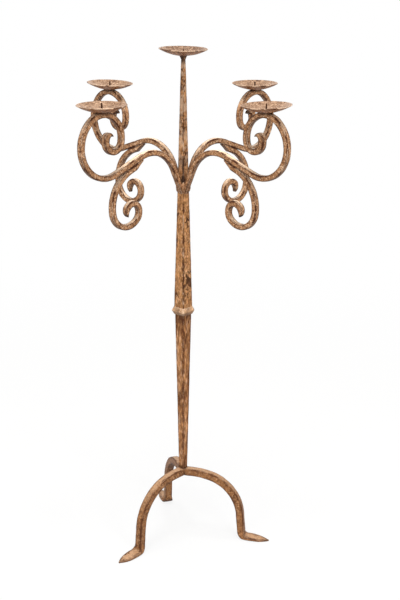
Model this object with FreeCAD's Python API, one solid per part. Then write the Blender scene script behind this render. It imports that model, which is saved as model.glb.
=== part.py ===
import FreeCAD
import Part

import math
import os

# A forged iron floor candle holder, in millimetres.
# The origin is on the floor at the middle of the post, with +Z up.
# Four scrolled arms leave the faces of the square post along X and Y.
# Three arched legs leave the foot of the post, one of them along -Y.

# Whole stand
overall_height = 1300.0
arm_count = 4
leg_count = 3
first_arm_azimuth = 0.0
first_leg_azimuth = -90.0
cut_overrun = 10.0

# Legs and leaf shaped feet
leg_crown_height = 191.5
leg_width = 20.0
leg_depth = 20.0
leg_lower_depth = 20.0
leg_root_run = 26.0
leg_shoulder_radius = 190.0
leg_shoulder_turn = 14.0
leg_arch_radius = 114.0
leg_arch_turn = 71.0
ankle_radius = 17.0
foot_reach = 240.0
foot_broad_reach = 190.0
foot_broad_width = 35.0
foot_depth = 9.0
foot_tip_depth = 3.0
foot_flare_height = 27.0
foot_flare_end = 6.0
heel_reach = 154.0

# Square tapered post, made of two bars butted together inside the collar
post_joint_height = 639.0
lower_post_foot_side = 16.0
lower_post_head_side = 30.8
upper_post_base_side = 34.6
post_waist_height = 928.0
post_waist_side = 22.2
post_spire_drop = 57.7
post_spire_side = 10.6
post_neck_drop = 9.0
post_neck_side = 7.6
post_head_side = 13.0
post_head_lip = 1.5
post_corner_share = 0.07
joint_tenon_side = 12.0
joint_tenon_length = 30.0

# Diamond ridged square collar over the joint of the post
collar_height = 20.0
collar_edge_side = 36.5
collar_ridge_side = 43.5
collar_ridge_flat = 2.5

# Bar that the arms and the lower scrolls are bent from
bar_side = 14.0
curl_end_width = 17.4
hook_forward = 8.4
hook_inward = 10.2
hook_blunt = 2.8

# Bends of one arm, from the post outwards, and how far its loop reaches from the middle
arm_reach = 335.7
arm_root_height = 961.0
arm_root_angle = 65.0
arm_rise_run = 55.5
arm_crest_radius = 88.0
arm_crest_turn = 85.0
arm_loop_low_radius = 76.0
arm_loop_low_turn = 161.0
arm_loop_high_radius = 58.0
arm_loop_high_turn = 141.0
arm_curl_radius = 24.0
arm_curl_turn = 160.0
arm_tip_radius = 35.0
arm_tip_turn = 20.0
crown_seat_depth = 0.6

# Bends of the lower scroll that is welded under each arm
scarf_length = 27.0
scarf_end_depth = 2.0
scroll_parallel_run = 15.0
scroll_fall_radius = 90.0
scroll_fall_turn = 76.0
scroll_turn_radius = 45.5
scroll_turn_turn = 127.0
scroll_rise_radius = 26.0
scroll_rise_turn = 67.0
scroll_curl_radius = 21.0
scroll_curl_turn = 120.0
scroll_end_width = 15.4
claw_forward = 17.0
claw_inward = 6.0

# Weld beads in the corners between the arms
bead_side = 6.5
bead_drop = 9.0
bead_length = 24.0
bead_end_length = 6.0
bead_end_share = 0.75

# Candle pans and the spikes that hold the candles
pan_diameter = 119.0
pan_sphere_radius = 118.0
pan_wall = 2.0
pan_floor_radius = 11.0
pan_flat_count = 26
pan_band_count = 3
spike_radius = 2.0
spike_point_length = 8.0
arm_spike_above_rim = 4.0
middle_spike_below_rim = 2.0

# The dish is part of a sphere, whose middle stands this high over the flat underside
pan_centre_height = math.sqrt(pan_sphere_radius**2 - pan_floor_radius**2)
pan_lip_angle = math.asin(pan_diameter / 2 / pan_sphere_radius)
pan_depth = pan_centre_height - (pan_sphere_radius - pan_wall) * math.cos(pan_lip_angle)
pan_seat_height = overall_height - pan_depth
post_spire_height = pan_seat_height - post_spire_drop

# A turn smaller than this, in degrees, is drawn as a straight line
least_turn = 0.01


def place(x, z):
    """A point of the upright plane that a bar is bent in."""
    return FreeCAD.Vector(x, 0, z)


def direction(heading):
    """Unit vector of a heading in degrees, where 0 points outwards and 90 points up."""
    angle = math.radians(heading)
    return place(math.cos(angle), math.sin(angle))


def left_of(heading):
    """Unit vector square to a heading, on its left."""
    return direction(heading + 90)


class BentBar:
    """The centre line of a bent bar, kept as stations with a heading and a half width."""

    def __init__(self, start, heading, half_width):
        self.points = [start]
        self.headings = [heading]
        self.half_widths = [half_width]

    def add(self, point, heading, half_width):
        """Put a station at the end, as wide as the last one unless told otherwise."""
        self.points.append(point)
        self.headings.append(heading)
        self.half_widths.append(half_width or self.half_widths[-1])

    def straight(self, length, half_width=None):
        """Run on along the present heading."""
        heading = self.headings[-1]
        point = self.points[-1] + direction(heading) * length
        self.add(point, heading, half_width)

    def bend(self, radius, turn, half_width=None):
        """Turn left by a positive angle, or right by a negative one, round the returned centre."""
        heading = self.headings[-1]
        towards = left_of(heading) * math.copysign(radius, turn)
        centre = self.points[-1] + towards
        point = centre - left_of(heading + turn) * math.copysign(radius, turn)
        self.add(point, heading + turn, half_width)
        return centre

    def side_point(self, station, side):
        """The point of one side at a station: side is 1 on the left and -1 on the right."""
        offset = left_of(self.headings[station]) * (self.half_widths[station] * side)
        return self.points[station] + offset

    def side(self, side, first=0):
        """The edges of one side, each tangent to the one before, and the heading at its end."""
        heading = self.headings[first]
        edges = []
        for station in range(first, len(self.points) - 1):
            start = self.side_point(station, side)
            end = self.side_point(station + 1, side)
            edge, heading = tangent_edge(start, heading, end)
            edges.append(edge)
        return edges, heading


def tangent_edge(start, heading, end):
    """A line or an arc that leaves start along a heading and ends at end."""
    chord = end - start
    chord_heading = math.degrees(math.atan2(chord.z, chord.x))
    turn = 2 * ((chord_heading - heading + 180) % 360 - 180)
    if abs(turn) < least_turn:
        return Part.LineSegment(start, end).toShape(), heading
    radius = chord.Length / (2 * math.sin(math.radians(abs(turn) / 2)))
    half_chord = 2 * radius * math.sin(math.radians(abs(turn) / 4))
    middle = start + direction(heading + turn / 4) * half_chord
    return Part.Arc(start, middle, end).toShape(), heading + turn


def closed_face(edges):
    """A flat face inside edges that join end to end in any order."""
    return Part.Face(Part.Wire(Part.sortEdges(edges)[0]))


def slab(face, width):
    """Extrude an upright face evenly to both sides."""
    body = face.extrude(FreeCAD.Vector(0, width, 0))
    body.translate(FreeCAD.Vector(0, -width / 2, 0))
    return body


def hook(bar, curl_side, outer_heading, inner_heading, forward, inward):
    """The last edges of a scroll: its outer side bends round into a hooked tip that points inwards."""
    heading = bar.headings[-1]
    inner_start = bar.side_point(-1, curl_side)
    outer_start = bar.side_point(-1, -curl_side)
    inwards = left_of(heading) * curl_side
    tip = inner_start + direction(heading) * forward + inwards * inward
    spread = direction(heading) * (hook_blunt / 2)
    outer_edge = tangent_edge(outer_start, outer_heading, tip + spread)[0]
    inner_edge = tangent_edge(inner_start, inner_heading, tip - spread)[0]
    blunt_edge = Part.LineSegment(tip + spread, tip - spread).toShape()
    return [outer_edge, inner_edge, blunt_edge]


def faceted(rings):
    """A closed solid with flat faces between rings of points that have the same count and turn."""
    faces = []
    for lower, upper in zip(rings, rings[1:]):
        for index, point in enumerate(lower):
            corners = [point, lower[index - 1], upper[index - 1], upper[index]]
            faces.append(Part.Face(Part.makePolygon(corners + corners[:1])))
    for ring in (rings[0], rings[-1]):
        faces.append(Part.Face(Part.makePolygon(ring + ring[:1])))
    return Part.makeSolid(Part.makeShell(faces))


def ring(corners, count, height):
    """The corners of one sector, repeated count times round the upright axis."""
    points = []
    for index in range(count):
        rotation = FreeCAD.Rotation(FreeCAD.Vector(0, 0, 1), 360 / count * index)
        for corner in corners:
            points.append(rotation.multVec(FreeCAD.Vector(corner[0], corner[1], height)))
    return points


def tapered_square(sections):
    """A square bar with its corners taken off, through sections given as side and height."""
    rings = []
    for side, height in sections:
        half = side / 2
        flat = half - side * post_corner_share
        rings.append(ring([(half, -flat), (half, flat)], 4, height))
    return faceted(rings)


def turned(shape, azimuth):
    """A copy of a shape, turned round the upright axis."""
    copy = shape.copy()
    copy.rotate(FreeCAD.Vector(0, 0, 0), FreeCAD.Vector(0, 0, 1), azimuth)
    return copy


# The two bars of the post and the collar over their joint
def joint_tenon():
    """The square tenon on the head of the lower bar, which sits in the upper bar."""
    half = joint_tenon_side / 2
    corner = FreeCAD.Vector(-half, -half, post_joint_height)
    return Part.makeBox(joint_tenon_side, joint_tenon_side, joint_tenon_length, corner)


def lower_post():
    """The lower bar, which widens upwards from the crown of the legs to the joint."""
    body = tapered_square(
        [
            (lower_post_foot_side, leg_crown_height),
            (lower_post_head_side, post_joint_height),
        ]
    )
    return body.fuse(joint_tenon())


def upper_post():
    """The upper bar, which narrows to a neck and ends in a small head under the middle pan."""
    body = tapered_square(
        [
            (upper_post_base_side, post_joint_height),
            (post_waist_side, post_waist_height),
            (post_spire_side, post_spire_height),
            (post_neck_side, pan_seat_height - post_neck_drop),
            (post_head_side, pan_seat_height - post_head_lip),
            (post_head_side, pan_seat_height),
        ]
    )
    return body.cut(joint_tenon())


def post_collar(post_bars):
    """A diamond ridged collar that fits over both bars where they meet."""
    low = post_joint_height - collar_height / 2
    body = tapered_square(
        [
            (collar_edge_side, low),
            (collar_ridge_side, post_joint_height - collar_ridge_flat / 2),
            (collar_ridge_side, post_joint_height + collar_ridge_flat / 2),
            (collar_edge_side, low + collar_height),
        ]
    )
    for bar in post_bars:
        body = body.cut(bar)
    return body


def post_half_side(height):
    """Half the width of the upper post between its waist and its spire."""
    share = (height - post_waist_height) / (post_spire_height - post_waist_height)
    return (post_waist_side + share * (post_spire_side - post_waist_side)) / 2


# The arms and their lower scrolls, made along +X and then turned
def arm_bar():
    """The centre line of an arm, from behind the middle of the post to the curled end beyond its loop."""
    half = bar_side / 2
    leaving = place(post_half_side(arm_root_height), arm_root_height)
    behind = left_of(arm_root_angle).x * half
    inset = (leaving.x - behind) / direction(arm_root_angle).x
    bar = BentBar(leaving - direction(arm_root_angle) * inset, arm_root_angle, half)
    bar.straight(inset + arm_rise_run)
    bar.bend(arm_crest_radius, -arm_crest_turn)
    bar.sag_station = len(bar.points) - 1
    sag_heading = bar.headings[-1]
    loop_centre_reach = arm_reach - half - arm_loop_low_radius
    sag_end_reach = loop_centre_reach - left_of(sag_heading).x * arm_loop_low_radius
    bar.straight((sag_end_reach - bar.points[-1].x) / direction(sag_heading).x)
    bar.bend(arm_loop_low_radius, arm_loop_low_turn)
    bar.crown_centre = bar.bend(arm_loop_high_radius, arm_loop_high_turn)
    bar.bend(arm_curl_radius, arm_curl_turn, (half + curl_end_width / 2) / 2)
    bar.bend(arm_tip_radius, arm_tip_turn, curl_end_width / 2)
    return bar


def crown_seat(bar):
    """The middle of the flat on top of an arm where its pan is seated."""
    crown = arm_loop_high_radius + bar_side / 2 - crown_seat_depth
    return bar.crown_centre + place(0, crown)


def arm(bar, post):
    """An arm cut to the face of the post, with a flat filed on its crown for the pan."""
    root = Part.LineSegment(bar.side_point(0, 1), bar.side_point(0, -1)).toShape()
    left, left_heading = bar.side(1)
    right, right_heading = bar.side(-1)
    tip = hook(bar, 1, right_heading, left_heading, hook_forward, hook_inward)
    body = slab(closed_face([root] + left + right + tip), bar_side)
    seat = crown_seat(bar)
    filed = Part.makeBox(bar_side * 4, bar_side * 2, cut_overrun)
    filed.translate(seat - FreeCAD.Vector(bar_side * 2, bar_side, 0))
    beyond = Part.makeBox(arm_reach, bar_side * 2, overall_height, FreeCAD.Vector(-arm_reach, -bar_side, 0))
    return body.cut(beyond).cut(post).cut(filed)


def scroll_bar(arm_line):
    """The lower scroll lies against the arm's underside, so it starts a bar's width below it."""
    heading = arm_line.headings[arm_line.sag_station]
    start = arm_line.points[arm_line.sag_station] - left_of(heading) * bar_side
    half = bar_side / 2
    bar = BentBar(start, heading, half)
    bar.straight(scarf_length)
    bar.straight(scroll_parallel_run)
    bar.bend(scroll_fall_radius, -scroll_fall_turn)
    bar.bend(scroll_turn_radius, -scroll_turn_turn)
    bar.bend(scroll_rise_radius, -scroll_rise_turn)
    bar.bend(scroll_curl_radius, -scroll_curl_turn, scroll_end_width / 2)
    return bar


def lower_scroll(bar):
    """A lower scroll, scarfed to a thin end where it starts against the arm."""
    heading = bar.headings[0]
    upper = bar.side_point(0, 1)
    end_corner = upper - left_of(heading) * scarf_end_depth
    left, left_heading = bar.side(1)
    right, right_heading = bar.side(-1, 1)
    scarf = Part.LineSegment(end_corner, bar.side_point(1, -1)).toShape()
    end = Part.LineSegment(upper, end_corner).toShape()
    tip = hook(bar, -1, left_heading, right_heading, claw_forward, claw_inward)
    return slab(closed_face([end, scarf] + left + right + tip), bar_side)


def weld_bead(post):
    """A bead that fills the corner between two arms at their roots, thinner towards its ends."""
    inner = bar_side / 2
    spread = post_half_side(arm_root_height) + bead_side - inner
    low = arm_root_height - bead_drop
    high = low + bead_length
    heights = (low, low + bead_end_length, high - bead_end_length, high)
    rings = []
    for height, share in zip(heights, (bead_end_share, 1, 1, bead_end_share)):
        reach = inner + spread * share
        rings.append(ring([(inner, inner), (reach, inner), (inner, reach)], 1, height))
    return faceted(rings).cut(post)


# The legs, made along +X and then turned
def leg_line():
    """The centre line of a leg, from the middle of the stand to the heel of its foot."""
    heading_at_foot = -leg_shoulder_turn - leg_arch_turn
    bar = BentBar(place(0, leg_crown_height - leg_depth / 2), 0, leg_depth / 2)
    bar.straight(leg_root_run)
    bar.bend(leg_shoulder_radius, -leg_shoulder_turn)
    bar.bend(leg_arch_radius, -leg_arch_turn)
    ankle_drop = ankle_radius * (1 - math.cos(math.radians(heading_at_foot)))
    fall = bar.points[-1].z - foot_depth / 2 - ankle_drop
    bar.straight(fall / -math.sin(math.radians(heading_at_foot)), leg_lower_depth / 2)
    bar.bend(ankle_radius, -heading_at_foot, foot_depth / 2)
    return bar


def leg_side_face(bar):
    """The leg seen from its side, flat under the foot."""
    upper, upper_heading = bar.side(1)
    lower, lower_heading = bar.side(-1)
    tip_top = place(foot_reach, foot_tip_depth)
    tip_bottom = place(foot_reach, 0)
    upper.append(Part.LineSegment(bar.side_point(-1, 1), tip_top).toShape())
    lower.append(Part.LineSegment(bar.side_point(-1, -1), tip_bottom).toShape())
    tip = Part.LineSegment(tip_top, tip_bottom).toShape()
    root = Part.LineSegment(bar.side_point(0, 1), bar.side_point(0, -1)).toShape()
    return closed_face(upper + lower + [tip, root])


def flat_point(x, y):
    """A point of the floor."""
    return FreeCAD.Vector(x, y, 0)


def leaf_edges(side):
    """One half of the leg seen from above: mitred at the post and leaf shaped at the foot."""
    half = leg_width / 2 * side
    broad = foot_broad_width / 2 * side
    mitre = leg_width / 2 / math.tan(math.radians(180 / leg_count))
    stations = [flat_point(0, 0), flat_point(mitre, half), flat_point(heel_reach, half)]
    edges = [Part.LineSegment(start, end).toShape() for start, end in zip(stations, stations[1:])]
    broad_point = flat_point(foot_broad_reach, broad)
    tip = flat_point(foot_reach, 0)
    edges.append(bulge(stations[-1], broad_point, side))
    edges.append(bulge(tip, broad_point, side))
    return edges


def bulge(start, broad_point, side):
    """An arc from start that runs level where it meets the broadest point."""
    chord = start - broad_point
    radius = chord.Length**2 / (2 * abs(chord.y))
    turn = 2 * math.asin(chord.Length / (2 * radius))
    centre = broad_point - FreeCAD.Vector(0, radius * side, 0)
    across = math.copysign(radius * math.sin(turn / 2), chord.x)
    middle = centre + FreeCAD.Vector(across, radius * math.cos(turn / 2) * side, 0)
    return Part.Arc(start, middle, broad_point).toShape()


def leg_front_face():
    """The leg seen from the post: level sides that flare out just above the foot."""
    top = leg_crown_height + cut_overrun
    half = leg_width / 2
    broad = foot_broad_width / 2
    edges = []
    for side in (1, -1):
        high = FreeCAD.Vector(0, half * side, top)
        flare = FreeCAD.Vector(0, half * side, foot_flare_height)
        foot = FreeCAD.Vector(0, broad * side, foot_flare_end)
        floor = FreeCAD.Vector(0, broad * side, 0)
        edges.append(Part.LineSegment(high, flare).toShape())
        edges.append(flare_arc(flare, foot, side))
        edges.append(Part.LineSegment(foot, floor).toShape())
    top_corners = [FreeCAD.Vector(0, half * side, top) for side in (1, -1)]
    floor_corners = [FreeCAD.Vector(0, broad * side, 0) for side in (1, -1)]
    for corners in (top_corners, floor_corners):
        edges.append(Part.LineSegment(corners[0], corners[1]).toShape())
    return closed_face(edges)


def flare_arc(start, end, side):
    """An arc that leaves the leg's level side and spreads outwards."""
    chord = end - start
    radius = chord.Length**2 / (2 * abs(chord.y))
    turn = 2 * math.asin(chord.Length / (2 * radius))
    centre = start + FreeCAD.Vector(0, radius * side, 0)
    offset = FreeCAD.Vector(0, -radius * math.cos(turn / 2) * side, -radius * math.sin(turn / 2))
    return Part.Arc(start, centre + offset, end).toShape()


def leg():
    """A leg and its foot: what its side, its plan and its front view have in common."""
    bar = leg_line()
    side_body = slab(leg_side_face(bar), foot_broad_width + cut_overrun)
    leaf = closed_face(leaf_edges(1) + leaf_edges(-1))
    leaf.translate(FreeCAD.Vector(0, 0, -cut_overrun))
    plan_body = leaf.extrude(FreeCAD.Vector(0, 0, leg_crown_height + 2 * cut_overrun))
    front_body = leg_front_face().extrude(FreeCAD.Vector(foot_reach + cut_overrun, 0, 0))
    return side_body.common(plan_body).common(front_body)


# Pans and spikes, made on their own axis and then lifted to their seats
def pan():
    """A shallow round dish beaten from sheet, with a flat floor and flats round its flank."""
    first = math.asin(pan_floor_radius / pan_sphere_radius)
    angles = [first + (pan_lip_angle - first) * band / pan_band_count for band in range(pan_band_count + 1)]

    def dish_ring(sphere_radius, angle):
        height = pan_centre_height - sphere_radius * math.cos(angle)
        return ring([(sphere_radius * math.sin(angle), 0)], pan_flat_count, height)

    under = [dish_ring(pan_sphere_radius, angle) for angle in angles]
    inside = [dish_ring(pan_sphere_radius - pan_wall, angle) for angle in reversed(angles)]
    return faceted(under + inside)


def pan_floor_height():
    """The height of the floor inside a dish over its flat underside."""
    return pan_wall * pan_centre_height / pan_sphere_radius


def spike(tip_height):
    """A round spike with a diamond point of four flats, standing on the floor of its dish."""
    foot = pan_floor_height()
    shank = Part.makeCylinder(spike_radius, tip_height - foot, place(0, foot))
    spread = (tip_height - foot) / spike_point_length
    base = ring([(spike_radius * math.sqrt(2) * spread, 0)], 4, foot)
    tip = place(0, tip_height)
    faces = [Part.Face(Part.makePolygon(base + base[:1]))]
    for index, corner in enumerate(base):
        faces.append(Part.Face(Part.makePolygon([corner, base[index - 1], tip, corner])))
    return shank.common(Part.makeSolid(Part.makeShell(faces)))


def lifted(shape, x, z):
    """A copy of a shape, moved outwards and up."""
    copy = shape.copy()
    copy.translate(place(x, z))
    return copy


def build():
    """Every piece of the stand by name."""
    pieces = {"lower_post": lower_post(), "upper_post": upper_post()}
    pieces["post_collar"] = post_collar([pieces["lower_post"], pieces["upper_post"]])

    arm_line = arm_bar()
    seat = crown_seat(arm_line)
    arm_body = arm(arm_line, pieces["upper_post"])
    scroll_body = lower_scroll(scroll_bar(arm_line))
    arm_spike = spike(pan_depth + arm_spike_above_rim)
    for index, name in enumerate(("right", "back", "left", "front")):
        azimuth = first_arm_azimuth + 360 / arm_count * index
        pieces["arm_" + name] = turned(arm_body, azimuth)
        pieces["lower_scroll_" + name] = turned(scroll_body, azimuth)
        pieces["pan_" + name] = turned(lifted(pan(), seat.x, seat.z), azimuth)
        pieces["spike_" + name] = turned(lifted(arm_spike, seat.x, seat.z), azimuth)

    bead = weld_bead(pieces["upper_post"])
    beads = [turned(bead, 360 / arm_count * index) for index in range(arm_count)]
    pieces["arm_root_welds"] = Part.makeCompound(beads)

    leg_body = leg()
    for index, name in enumerate(("front", "right", "left")):
        azimuth = first_leg_azimuth + 360 / leg_count * index
        pieces["leg_" + name] = turned(leg_body, azimuth)

    pieces["pan_middle"] = lifted(pan(), 0, pan_seat_height)
    middle_spike = spike(pan_depth - middle_spike_below_rim)
    pieces["spike_middle"] = lifted(middle_spike, 0, pan_seat_height)
    return pieces


os.makedirs("parts", exist_ok=True)
for piece_name, piece in build().items():
    piece.exportStep("parts/" + piece_name + ".step")
    print(piece_name, len(piece.Solids), piece.isValid(), round(piece.Volume))
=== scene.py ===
"""Looks of a forged iron floor candle holder with an antique gilt patina.

Lengths are in metres and angles in degrees. Bars are bent in the upright plane y = 0,
outwards along +X, and then turned to their place round the post.
"""

import logging
import math
from dataclasses import dataclass, field, replace
from enum import Enum

import bmesh
import bpy
from mathutils import Matrix, Vector, noise


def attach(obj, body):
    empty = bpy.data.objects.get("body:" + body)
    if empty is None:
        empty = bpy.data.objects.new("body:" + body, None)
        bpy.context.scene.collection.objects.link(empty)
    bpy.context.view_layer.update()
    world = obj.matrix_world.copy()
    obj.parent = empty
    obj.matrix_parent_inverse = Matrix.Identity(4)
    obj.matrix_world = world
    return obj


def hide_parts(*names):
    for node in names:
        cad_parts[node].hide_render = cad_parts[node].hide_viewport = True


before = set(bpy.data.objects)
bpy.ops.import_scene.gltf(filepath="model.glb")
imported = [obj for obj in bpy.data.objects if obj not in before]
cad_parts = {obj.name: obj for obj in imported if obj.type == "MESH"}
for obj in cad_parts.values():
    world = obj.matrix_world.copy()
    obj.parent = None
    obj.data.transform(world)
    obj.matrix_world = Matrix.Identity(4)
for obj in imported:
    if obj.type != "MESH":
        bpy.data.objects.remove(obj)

log = logging.getLogger("candle_holder")

Mesh = bmesh.types.BMesh
Vertex = bmesh.types.BMVert
Ring = list[bmesh.types.BMEdge]
Node = bpy.types.Node
Socket = bpy.types.NodeSocket
Colour = tuple[float, float, float]
Source = Socket | float | Colour
Seam = tuple[Vector, Vector, float]
Outline = tuple[tuple[float, float], ...]

UP = Vector((0.0, 0.0, 1.0))
BAR_STEP = 0.0035
BAR_CORNER = 0.18
CORNER_SEGMENTS = 3
SHORTEST_FLAT = 0.4
FLAT_CUTS = 4
HOOK_STEPS = 9
LEAST_TURN = 0.01
MERGE_DISTANCE = 0.00001
# Share of a seam's reach that is fully dark, for painted shade where parts meet and for darker tips.
SHADE_AND_TIP_CORE = 0.35


def tint(red: int, green: int, blue: int) -> Colour:
    """Turn screen values from 0 to 255 into a linear colour.

    Args:
        red: Red on the screen.
        green: Green on the screen.
        blue: Blue on the screen.

    Returns:
        The linear red, green and blue.
    """
    def linear(value: int) -> float:
        """Undo the screen curve of one value."""
        share = value / 255
        return share / 12.92 if share <= 0.04045 else ((share + 0.055) / 1.055) ** 2.4
    return linear(red), linear(green), linear(blue)


def upright(reach: float, height: float) -> Vector:
    """Give the point of the upright plane at a reach and a height."""
    return Vector((reach, 0.0, height))


def direction(heading: float) -> Vector:
    """Give the unit vector of a heading, where 0 points outwards and 90 points up."""
    return upright(math.cos(math.radians(heading)), math.sin(math.radians(heading)))


def left_of(heading: float) -> Vector:
    """Give the unit vector square to a heading, on its left."""
    return direction(heading + 90)


def round_post(azimuth: float) -> Matrix:
    """Give the turn round the post's axis by an azimuth."""
    return Matrix.Rotation(math.radians(azimuth), 3, "Z")


def between(first: float, last: float, share: float) -> float:
    """Give the number that lies a share of the way from first to last."""
    return first + (last - first) * share


def eased(low: float, high: float, value: float) -> float:
    """Rise smoothly from 0 at low to 1 at high."""
    share = min(max((value - low) / (high - low), 0.0), 1.0)
    return share * share * (3 - 2 * share)


def spot(point: Vector, reach: float) -> Seam:
    """Give the seam that is a single point."""
    return point, point, reach


class Side(Enum):
    """Side of a bar, seen along its heading."""

    LEFT = 1
    RIGHT = -1


class Mark(Enum):
    """Name of a mesh attribute that a finish reads."""

    EDGE = "edge"
    # Painted shade where parts meet, and darker tips.
    SHADE_AND_DARK_TIPS = "soot"
    INSIDE = "inside"


@dataclass(frozen=True)
class Section:
    """Cross section of a forged bar: width lies in the upright plane and depth across it."""

    centre: Vector
    across: Vector
    width: float
    depth: float

    def matrix(self) -> Matrix:
        """Place a unit profile at this section.

        Returns:
            The placement.
        """
        along = self.across.cross(Vector((0.0, 1.0, 0.0)))
        columns = (self.across * self.width, Vector((0.0, self.depth, 0.0)), along, self.centre)
        rows = [[column[axis] for column in columns] for axis in range(3)]
        return Matrix(rows + [[0.0, 0.0, 0.0, 1.0]])


class BarPath:
    """Sections along a bar, taken a few millimetres apart through its straights and bends."""

    def __init__(self, start: Vector, heading: float, width: float, depth: float,
                 step: float = BAR_STEP) -> None:
        """Start a bar.

        Args:
            start: Middle of the first section.
            heading: Heading at the start.
            width: Width in the upright plane.
            depth: Depth across the upright plane.
            step: Largest distance between two sections.
        """
        self.point = start
        self.heading = heading
        self.width = width
        self.depth = depth
        self.step = step
        self.sections: list[Section] = []
        self.note()

    def note(self) -> None:
        """Note the section at the present point."""
        self.sections.append(Section(self.point, left_of(self.heading), self.width, self.depth))

    def side_point(self, side: Side) -> Vector:
        """Give the present point of one side of the bar."""
        return self.point + left_of(self.heading) * (self.width / 2 * side.value)

    def straight(self, length: float, width: float | None = None, depth: float | None = None,
                 flush: Side | None = None) -> None:
        """Run on along the present heading.

        Args:
            length: Distance to run.
            width: Width at the end, if it changes.
            depth: Depth at the end, if it changes.
            flush: Side that keeps its line while the width changes.
        """
        count = max(1, round(length / self.step))
        start, first_width, first_depth = self.point, self.width, self.depth
        for index in range(1, count + 1):
            share = index / count
            self.width = between(first_width, width or first_width, share)
            self.depth = between(first_depth, depth or first_depth, share)
            self.point = start + direction(self.heading) * (length * share)
            if flush is not None:
                self.point += left_of(self.heading) * ((first_width - self.width) / 2 * flush.value)
            self.note()

    def bend(self, radius: float, turn: float, width: float | None = None) -> Vector:
        """Turn left by a positive angle or right by a negative one.

        Args:
            radius: Radius of the bar's middle line.
            turn: Angle to turn.
            width: Width at the end, if it changes.

        Returns:
            The middle of the bend.
        """
        signed = math.copysign(radius, turn)
        middle = self.point + left_of(self.heading) * signed
        count = max(2, round(radius * math.radians(abs(turn)) / self.step))
        first_heading, first_width = self.heading, self.width
        for index in range(1, count + 1):
            share = index / count
            self.heading = first_heading + turn * share
            self.width = between(first_width, width or first_width, share)
            self.point = middle - left_of(self.heading) * signed
            self.note()
        return middle

    def hook(self, curl: Side, forward: float, inward: float, blunt: float, depth: float) -> None:
        """End the bar in a hooked tip that points inwards.

        Args:
            curl: Side that the tip points to.
            forward: How far the tip lies ahead of the last section.
            inward: How far the tip lies inwards of the inner side.
            blunt: Width of the tip.
            depth: Depth at the tip.
        """
        heading = self.heading
        inner_start = self.side_point(curl)
        outer_start = self.side_point(Side(-curl.value))
        tip = inner_start + direction(heading) * forward + left_of(heading) * (inward * curl.value)
        spread = direction(heading) * (blunt / 2)
        for index in range(1, HOOK_STEPS + 1):
            share = index / HOOK_STEPS
            outer = tangent_point(outer_start, heading, tip + spread, share)
            inner = tangent_point(inner_start, heading, tip - spread, share)
            gap = (inner - outer) * curl.value
            thick = between(self.depth, depth, share * share)
            self.sections.append(Section((outer + inner) / 2, gap.normalized(), gap.length, thick))


def tangent_point(start: Vector, heading: float, end: Vector, share: float) -> Vector:
    """Give a point of the arc that leaves start along a heading and ends at end.

    Args:
        start: First point of the arc.
        heading: Heading at the first point.
        end: Last point of the arc.
        share: Part of the arc that is gone through.

    Returns:
        The point of the arc.
    """
    chord = end - start
    chord_heading = math.degrees(math.atan2(chord.z, chord.x))
    turn = 2 * ((chord_heading - heading + 180) % 360 - 180)
    if abs(turn) < LEAST_TURN:
        return start + chord * share
    radius = chord.length / (2 * math.sin(math.radians(turn) / 2))
    middle = start + left_of(heading) * radius
    return middle - left_of(heading + turn * share) * radius


def new_mesh() -> Mesh:
    """Start an empty mesh with an attribute for each mark.

    Returns:
        The mesh.
    """
    mesh = bmesh.new()
    for mark in Mark:
        mesh.verts.layers.float.new(mark.value)
    return mesh


def marks(mesh: Mesh, mark: Mark) -> bmesh.types.BMLayerItem:
    """Give the attribute of a mesh that holds a mark."""
    return mesh.verts.layers.float[mark.value]


def only(kind: type, items: list[object]) -> list[object]:
    """Keep the items of one kind."""
    return [item for item in items if isinstance(item, kind)]


def draw_profile(mesh: Mesh, corner: float) -> Ring:
    """Draw the unit square that a bar is forged from, with rounded corners.

    Args:
        mesh: Mesh to draw in.
        corner: Size of a rounded corner, as a share of the side.

    Returns:
        The edges of the profile.
    """
    made = bmesh.ops.create_grid(mesh, x_segments=1, y_segments=1, size=0.5)
    bmesh.ops.bevel(mesh, geom=made["verts"], offset=corner, segments=CORNER_SEGMENTS,
                    profile=0.5, affect="VERTICES", material=-1)
    flats = [edge for edge in mesh.edges if edge.calc_length() > SHORTEST_FLAT]
    bmesh.ops.subdivide_edges(mesh, edges=flats, cuts=FLAT_CUTS)
    edge_mark = marks(mesh, Mark.EDGE)
    for vertex in mesh.verts:
        vertex[edge_mark] = 2 * min(abs(vertex.co.x), abs(vertex.co.y))
    return mesh.edges[:]


def sweep(mesh: Mesh, ring: Ring, places: list[Matrix]) -> Ring:
    """Move a unit profile to its first place and extrude it through the others.

    Args:
        mesh: Mesh that holds the profile alone.
        ring: Edges of the profile.
        places: Placements of the profile, from one end to the other.

    Returns:
        The edges at the last place.
    """
    bmesh.ops.transform(mesh, matrix=places[0], verts=mesh.verts[:])
    for placed, target in zip(places, places[1:]):
        grown = bmesh.ops.extrude_edge_only(mesh, edges=ring)["geom"]
        ring = only(bmesh.types.BMEdge, grown)
        bmesh.ops.transform(mesh, matrix=target @ placed.inverted(), verts=only(Vertex, grown))
    return ring


def cap(mesh: Mesh, ring: Ring) -> None:
    """Close the open end of a mesh and turn its faces outwards."""
    bmesh.ops.contextual_create(mesh, geom=ring)
    bmesh.ops.recalc_face_normals(mesh, faces=mesh.faces[:])


def forge(sections: list[Section], corner: float = BAR_CORNER) -> Mesh:
    """Draw a rounded square profile through sections and close both ends.

    Args:
        sections: Sections from one end to the other.
        corner: Size of a rounded corner, as a share of the side.

    Returns:
        The closed mesh of the bar.
    """
    mesh = new_mesh()
    ring = draw_profile(mesh, corner)
    cap(mesh, sweep(mesh, ring, [section.matrix() for section in sections]))
    return mesh


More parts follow.
